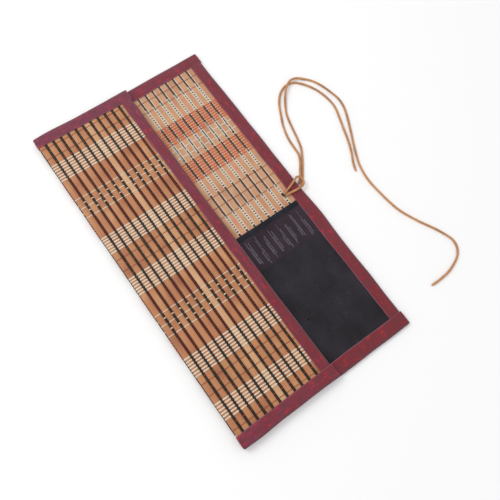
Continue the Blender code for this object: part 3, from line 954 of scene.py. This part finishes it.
class EndStrip:
    """The ribbon along one end of the mat; end is 1 at the top and -1 at the bottom."""

    def __init__(self, base, flap, end):
        self.base, self.flap, self.end = base, flap, end
        self.pivot = hinge(base[0].body, flap[0].body)
        self.sticks = {1: [u.stick for u in base], -1: [u.stick for u in flap if u.stick is not None]}

    def lip(self, x, facing):
        """How far out the ribbon's inner edge is: it slants a little on each layer."""
        if self.end > 0:
            base_lip = max(166.3 * MM, 166.4 * MM + 0.027 * (x - 12 * MM))
            flap_lip = 170.3 * MM - 0.024 * (x + 95 * MM)
        else:
            base_lip = 166.4 * MM
            flap_lip = 168.2 * MM - 0.012 * (x + 95 * MM)
        share = min(max((x - self.pivot.x) / (20 * MM), 0.0), 1.0)
        layer_lip = base_lip if facing > 0 else flap_lip
        lip = flap_lip + (layer_lip - flap_lip) * share
        return lip + wobble(x, self.end * 3.0, facing * 9.0, 16 * MM, 0.4 * MM)

    def ring(self, x, z, up, half, facing, tuck):
        """up is the (x, z) direction that the inner face looks in."""
        lip = self.lip(x, facing)
        edge = HALF_LENGTH + 0.7 * MM + wobble(x, self.end * 5.0, facing * 4.0, 34 * MM, 0.5 * MM)
        edge += 1.1 * MM * math.exp(-(((x - self.pivot.x - 14 * MM) / (24 * MM)) ** 2)) * (facing < 0)

        def place(share, height):
            y = self.end * (lip + (edge - lip) * share)
            return x + up[0] * height, y, z + up[1] * height

        return ribbon_ring(place, half, tuck)

    def flat_rings(self, xs, layer_z, facing, closes):
        """Rings along one layer, and their marks. Where it closes, the last rings round off the corner."""
        rings, marks = [], []
        stations = [(x, 1.0) for x in xs]
        if closes:
            stations += [(xs[-1] + 0.5 * MM, 0.96), (xs[-1] + 0.95 * MM, 0.8), (xs[-1] + 1.2 * MM, 0.45)]
        for x, size in stations:
            bump = over_sticks(x, self.sticks[facing])
            ripple = 0.14 * MM * bump + wobble(x, self.end * 7.0, facing * 2.0, 9 * MM, 0.08 * MM)
            half = (BINDING_HALF - 0.06 * MM + ripple) * size
            beside_fold = min((x - self.pivot.x) / (9 * MM), 1.0)
            tuck = POCKET_TUCK * beside_fold if self.end < 0 and x < POCKET_RIGHT[facing] else 0.0
            rings.append(self.ring(x, layer_z, (0.0, facing), half, facing, tuck * size))
            away = x - self.pivot.x
            red = redness(x, self.end * HALF_LENGTH) - 0.45 * (facing < 0)
            marks.append(ribbon_marks(facing * away, red))
        return rings, marks

    def fold_rings(self):
        """Rings from the base layer round the fold to the flap layer."""
        base = self.base[0]
        middle = self.pivot.x + 0.4 * MM
        rise = self.pivot.z - base.z
        stations = [(self.pivot.x + FOLD_MARGIN, -90)]
        stations += [(middle, angle) for angle in range(-90, 91, 10)]
        stations += [(self.pivot.x + FOLD_MARGIN, 90)]
        rings, marks = [], []
        u = FOLD_MARGIN
        before = None
        for x, angle in stations:
            turn = math.radians(angle)
            at = Vector((x - 0.6 * MM * math.cos(turn), self.pivot.z + rise * math.sin(turn)))
            inwards = Vector((math.cos(turn) / 0.6, -math.sin(turn) / 2.1)).normalized()
            half = 0.62 * MM + (BINDING_HALF - 0.68 * MM) * abs(math.sin(turn)) ** 1.5
            if before is not None:
                u -= (at - before).length
            before = at
            facing = 1 if angle < 0 else -1
            rings.append(self.ring(at.x, at.y, inwards, half, facing, 0.0))
            marks.append(ribbon_marks(u, redness(x, self.end * HALF_LENGTH)))
        return rings, marks


def ribbon_piece(name, rings, marks, materials):
    shape = Shape()
    shape.loft(rings, marks)
    piece = shape.piece(name, [materials["ribbon"]], 50)
    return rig.slot(piece, "ribbon")


def spaced(start, stop, count):
    return [start + (stop - start) * i / count for i in range(count + 1)]


def add_end_strip(base, flap, end, materials):
    label = "top" if end > 0 else "bottom"
    strip = EndStrip(base, flap, end)
    made = []
    for layer, units, facing in (("base", base, 1), ("flap", flap, -1)):
        node = f"{layer}_{label}_binding"
        closing_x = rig.box(node)[1].x + 0.2 * MM
        for a, b in zip(units, units[1:]):
            closes = b is units[-1]
            stop = closing_x if closes else b.centre
            start = strip.pivot.x + FOLD_MARGIN if a is units[0] else a.centre
            xs = spaced(start, stop, 14 if closes else RIBBON_STEPS + 3 * (a is units[0]))
            rings, marks = strip.flat_rings(xs, a.z, facing, closes)
            piece = ribbon_piece(f"ribbon_{layer}_{label}_{a.seed:02d}", rings, marks, materials)
            join_cell(piece, a, b, CLOTH_BEND)
            made.append(piece)
        if layer == "base":
            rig.replaces(made[-1], node)
            main = made[-1]
    rings, marks = strip.fold_rings()
    fold = ribbon_piece(f"ribbon_fold_{label}", rings, marks, materials)
    join_fold(fold, base, flap, 0.1 * MM)
    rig.replaces(fold, f"flap_{label}_binding")
    others = [piece for piece in made if piece is not main] + [fold]
    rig.sheet(main, flat=(14.9 * MM, 29.4 * MM), held="folded", rests_on=["base_slat_01"], with_pieces=others)


def add_side_strip(node, units, facing, materials):
    """The ribbon along a long edge. facing is 1 where its inner face looks up."""
    low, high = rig.box(node)
    z = (low.z + high.z) / 2
    reach = high.y + 3.4 * MM
    count = 120
    rings, marks = [], []
    for i in range(count + 1):
        y = -reach + 2 * reach * i / count
        lip = low.x + wobble(y, facing * 6.0, 1.0, 15 * MM, 0.4 * MM)
        lip += wobble(y, facing * 2.0, 8.0, 70 * MM, 0.5 * MM)
        edge = high.x + wobble(y, facing * 4.0, 2.0, 30 * MM, 0.6 * MM)
        if facing > 0:
            edge += 0.4 * MM + 1.3 * MM * math.exp(-(((y + 40 * MM) / (22 * MM)) ** 2))
        under_end = min(max((abs(y) - high.y + 2.6 * MM) / (3.4 * MM), 0.0), 1.0)
        half = (BINDING_HALF + wobble(y, facing, 3.0, 10 * MM, 0.12 * MM)) * (1 - 0.34 * under_end)
        tuck = POCKET_TUCK * (1 - under_end) if y < POCKET_MOUTH else 0.0

        def place(share, height, y=y, lip=lip, edge=edge):
            return lip + (edge - lip) * share, y, z + facing * height

        rings.append(ribbon_ring(place, half, tuck))
        marks.append(ribbon_marks(y + facing * 0.4, redness(high.x, y) - (0.1 if facing > 0 else 0.2)))
    piece = ribbon_piece(node.replace("binding", "ribbon"), rings, marks, materials)
    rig.ride(piece, body_of_node(node))
    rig.replaces(piece, node)
    width = 2 * (high.x - low.x) + 2 * BINDING_HALF
    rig.sheet(piece, flat=(width, 2 * reach), held="folded", rests_on=[units[-1].node])


# ---------------------------------------------------------------- pocket

def crease(x, y):
    """How the plain cloth of the pocket rises and falls."""
    shape = 0.0
    for middle, top, depth in CREASES:
        fade = min(max((top - y) / (14 * MM), 0.0), 1.0)
        wander = wobble(middle, y, 2.0, 26 * MM, 0.9 * MM)
        shape -= depth * fade * math.exp(-(((x - middle - wander) / (0.6 * MM)) ** 2))
    return shape + wobble(x, y, 6.0, 24 * MM, 0.16 * MM) + wobble(x, y, 3.0, 9 * MM, 0.07 * MM)


def cloth_path(a, b, left, right, count):
    """(x, z, (nx, nz)) across a cell: the cloth rests on the inside of the sticks."""
    inner = -a.outside
    path = []
    for x in spaced(left, right, count):
        rise = CLOTH_RISE + 0.1 * MM * over_sticks(x, [a.stick])
        path.append((x, a.z + inner * rise, (0.0, inner)))
    return path


def fold_cloth_path(base, flap):
    """The same round the inside of the fold."""
    place = hinge(base.body, flap.body)
    gap = place.z - base.z - CLOTH_RISE
    path = [(x, base.z + CLOTH_RISE, (0.0, 1.0)) for x in (base.centre, base.centre - 0.8 * MM)]
    for angle in range(-90, 91, 10):
        turn = math.radians(angle)
        x = place.x + 2.3 * MM - 0.6 * MM * math.cos(turn)
        path.append((x, place.z + gap * math.sin(turn), (math.cos(turn), -math.sin(turn))))
    path += [(x, flap.z - CLOTH_RISE, (0.0, -1.0)) for x in (flap.centre - 0.8 * MM, flap.centre)]
    return path


def add_cloth(shape, path, ys, lift, thickness, slot):
    """A slab of cloth along y over a path across the mat; lift(x, y) raises its face."""
    rings, rest = [], []
    for y in ys:
        lifts = [lift(x, y) for x, _, _ in path]
        face = [(x + n[0] * up, y, z + n[1] * up) for (x, z, n), up in zip(path, lifts)]
        downs = [thickness - up for up in lifts]
        back = [(x - n[0] * down, y, z - n[1] * down) for (x, z, n), down in zip(path, downs)]
        rings.append(face + back[::-1])
        row = [(x, y, slot) for x, _, _ in path]
        rest.append(row + row[::-1])
    shape.loft(rings, rest, slot)


def band_parts(shape, path, stick, inner, dice):
    """The stretchy band at the mouth: hem, mesh, and pale threads that show beside the stick."""
    hem_low = POCKET_MOUTH - HEM
    seam = POCKET_MOUTH - BAND

    def hem_lift(x, y):
        edge = min(POCKET_MOUTH - y, y - hem_low)
        roll = 0.16 * MM * min(edge / (0.8 * MM), 1.0)
        return roll + wobble(x, y, 5.0, 12 * MM, 0.1 * MM)

    add_cloth(shape, path, spaced(hem_low, POCKET_MOUTH, 8), hem_lift, CLOTH_THICK, 0)

    def band_lift(x, y):
        return wobble(x, y, 5.0, 12 * MM, 0.1 * MM) - 0.05 * MM

    add_cloth(shape, path, spaced(seam, hem_low + 0.2 * MM, 12), band_lift, CLOTH_THICK, 1)
    if stick is None:
        return
    z = path[0][1] + inner * 0.1 * MM
    for side in (-1.4, -0.3, 1.2):
        x = stick + side * MM + dice.uniform(-0.15, 0.15) * MM
        y = hem_low - dice.uniform(1.0, 20.0 if side < -1 else 16.0) * MM
        end = seam + dice.uniform(0.6, 7.0) * MM
        width = dice.uniform(0.36, 0.56) * (0.7 if side == -0.3 else 1.0) * MM
        while y > end + 2 * MM:
            stop = max(end, y - dice.uniform(8.0, 22.0) * MM)
            line = [(x, place, z) for place in spaced(y, stop, 4)]
            add_thread(shape, line, width, 0.22 * MM, stick, 2, (1.0, 0.0, 0.0))
            y = stop - dice.uniform(0.4, 1.6) * MM


def cloth_parts(shape, path, count):
    seam = POCKET_MOUTH - BAND

    def lift(x, y):
        hem = 0.14 * MM * math.exp(-(((y - seam + 1.0 * MM) / (1.1 * MM)) ** 2))
        return hem + crease(x, y)

    ys = [seam - 0.1 * MM, seam - 0.6 * MM, seam - 1.2 * MM, seam - 1.9 * MM]
    ys += spaced(seam - 3.0 * MM, -POCKET_FOOT, count)
    add_cloth(shape, path, ys, lift, CLOTH_THICK, 0)


def add_hole(shape, z):
    """A small worn hole in the plain cloth: a thin disc on the cloth, painted near-black as the shade inside the hole.
    """
    rings, rest = [], []
    for size, height in ((1.0, -0.1), (1.0, 0.06), (0.55, 0.08)):
        ring = []
        for k in range(14):
            angle = 2 * math.pi * k / 14
            x = HOLE[0] + 1.25 * MM * size * math.cos(angle)
            y = HOLE[1] + (0.72 + 0.1 * math.sin(2 * angle)) * MM * size * math.sin(angle)
            ring.append((x, y, z + crease(x, y) + height * MM))
        rings.append(ring)
        rest.append([(x, y, 0.0) for x, y, _ in ring])
    shape.loft(rings, rest, 1)


def add_pocket_pieces(name, path, stick, inner, dice, materials):
    """The band and the plain cloth of one cell, each with its own slot."""
    band = Shape()
    band_parts(band, path, stick, inner, dice)
    band_finishes = [materials[key] for key in ("hem", "band", "band_line")]
    band_piece = band.piece(f"pocket_band_{name}", band_finishes, 50)
    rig.slot(band_piece, "elastic")
    cloth = Shape()
    cloth_parts(cloth, path, 34 if inner > 0 else 20)
    if inner > 0 and path[0][0] < HOLE[0] < path[-1][0]:
        add_hole(cloth, path[0][1])
    cloth_piece = cloth.piece(f"pocket_cloth_{name}", [materials["cloth"], materials["hole"]], 50)
    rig.slot(cloth_piece, "pocket_cloth")
    return band_piece, cloth_piece


def add_pocket(base, flap, materials):
    dice = random.Random(11)
    bands, cloths = [], []
    for layer, units, facing in (("base", base, 1), ("flap", flap, -1)):
        right = POCKET_RIGHT[facing]
        cells = [(a, b) for a, b in zip(units, units[1:]) if a.centre < right]
        for a, b in cells:
            closes = (a, b) == cells[-1]
            stop = right if closes else b.centre
            path = cloth_path(a, b, a.centre, stop, 14 if facing > 0 else 8)
            name = f"{layer}_{a.seed:02d}"
            band, cloth = add_pocket_pieces(name, path, a.stick, facing, dice, materials)
            join_cell(band, a, b, CLOTH_BEND)
            join_cell(cloth, a, b, CLOTH_BEND)
            bands.append(band)
            cloths.append(cloth)
            if closes and layer == "base":
                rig.replaces(band, "base_pocket_band")
                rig.replaces(cloth, "base_pocket")
    path = fold_cloth_path(base[0], flap[0])
    band, cloth = add_pocket_pieces("fold", path, None, 1, dice, materials)
    join_fold(band, base, flap, 0.25 * MM)
    join_fold(cloth, base, flap, 0.25 * MM)
    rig.replaces(band, "flap_pocket_band")
    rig.replaces(cloth, "flap_pocket")
    for sewn, last, height in ((bands, band, BAND), (cloths, cloth, POCKET_FOOT + POCKET_MOUTH - BAND)):
        main = sewn[BASE_SLATS - 3]
        others = [piece for piece in [*sewn, last] if piece is not main]
        area = height * (base[1].centre - base[0].centre)
        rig.sheet(
            main, flat=(10 * MM, height), held="stretched", rests_on=["base_slat_03"], area=area,
            with_pieces=others,
        )


# ---------------------------------------------------------------- cord

def smooth_points(route, step):
    """Evenly spaced points on a smooth curve through the route's points."""
    ends = [2 * Vector(route[0]) - Vector(route[1]), 2 * Vector(route[-1]) - Vector(route[-2])]
    knots = [ends[0], *(Vector(p) for p in route), ends[1]]
    fine = []
    for i in range(1, len(knots) - 2):
        before, start, stop, after = knots[i - 1 : i + 3]
        for j in range(24):
            t = j / 24
            bend = 2 * start + (stop - before) * t + (2 * before - 5 * start + 4 * stop - after) * t**2
            fine.append(0.5 * (bend + (3 * start - before - 3 * stop + after) * t**3))
    fine.append(knots[-2])
    lengths = [0.0]
    for a, b in zip(fine, fine[1:]):
        lengths.append(lengths[-1] + (b - a).length)
    count = max(2, round(lengths[-1] / step))
    points = []
    k = 0
    for i in range(count + 1):
        along = lengths[-1] * i / count
        while k < len(fine) - 2 and lengths[k + 1] < along:
            k += 1
        share = (along - lengths[k]) / (lengths[k + 1] - lengths[k])
        points.append(fine[k].lerp(fine[k + 1], share))
    return points


def add_strand(shape, points, radius, flatness, frayed):
    """A cord of three twisted strands. flatness is its height over its width. It thins out at a frayed end."""
    rings, rest = [], []
    side = Vector((0.0, 0.0, 1.0))
    along = 0.0
    count = len(points)
    for i, point in enumerate(points):
        tangent = (points[min(i + 1, count - 1)] - points[max(i - 1, 0)]).normalized()
        side = (side - tangent * side.dot(tangent)).normalized()
        other = tangent.cross(side)
        if i:
            along += (point - points[i - 1]).length
        left = (count - 1 - i) * CORD_STEP
        size = 1.0 if not frayed or left > 2.4 * MM else 0.62 + 0.38 * left / (2.4 * MM)
        thick = radius * size * (1 + wobble(along, radius, 1.0, 14 * MM, 0.1))
        ring, marks = [], []
        for k in range(CORD_SIDES):
            angle = 2 * math.pi * k / CORD_SIDES
            lobe = 0.92 + 0.09 * math.cos(3 * (angle - 2 * math.pi * along / CORD_TWIST))
            reach = thick * lobe
            up, across = reach * flatness * math.cos(angle), reach * math.sin(angle)
            ring.append(tuple(point + side * up + other * across))
            marks.append((angle - 2 * math.pi * along / CORD_TWIST, along, count * 0.01))
        rings.append(ring)
        rest.append(marks)
    shape.loft(rings, rest)


def cord_piece(name, routes, node, flatness, frayed, materials):
    """A piece of cord that stands for a CAD node and rides where it does."""
    shape = Shape()
    for route in routes:
        add_strand(shape, smooth_points(route, CORD_STEP), STRAND_RADIUS, flatness, frayed)
    piece = shape.piece(name, [materials["cord"]], 60)
    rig.slot(piece, "cord")
    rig.replaces(piece, node)
    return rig.ride(piece, body_of_node(node))


def add_cords(materials):
    hitch = cord_piece("hitch_cord", [HITCH_ROUTE], "cord_hitch_loop", 1.0, False, materials)
    under_xz = ((0.0968, 0.0003), (0.0900, 0.0003), (0.0815, 0.0003), (0.0798, 0.0007), (0.0795, 0.0029))
    under = [[(x, y, z) for x, z in under_xz] for y in (-0.0086, -0.0064)]
    band = cord_piece("hitch_cord_under", under, "cord_hitch_band", 0.30, False, materials)
    for label, route, beside in (("long", CORD_LONG_ROUTE, [hitch, band]), ("short", CORD_SHORT_ROUTE, [])):
        piece = cord_piece(f"tie_cord_{label}", [route], f"cord_{label}_end", 1.0, True, materials)
        path = [tuple(point) for point in smooth_points(route, 2 * MM)]
        length = sum((Vector(b) - Vector(a)).length for a, b in zip(path, path[1:]))
        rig.cord(
            piece, exit=route[0], length=length, diameter=2 * CORD_RADIUS, far_end="bare", stiffness="limp",
            lay="loose", path=path, with_pieces=beside,
        )


# ---------------------------------------------------------------- finish

add_camera()
add_stage()
finishes = make_materials()
base_units, flap_units = make_units()
add_cords(finishes)
add_slats(base_units, flap_units, finishes)
add_warp(base_units, flap_units, finishes)
for mat_end in (1, -1):
    add_end_strip(base_units, flap_units, mat_end, finishes)
add_side_strip("cord_edge_binding", base_units, 1, finishes)
add_side_strip("flap_edge_binding", flap_units, -1, finishes)
add_pocket(base_units, flap_units, finishes)

SIZE = {"cad": [list(corner) for corner in CAD_BOX], "visual": [list(corner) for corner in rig.bounds()]}
with open("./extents.json", "w") as size_file:
    json.dump(SIZE, size_file, indent=1)
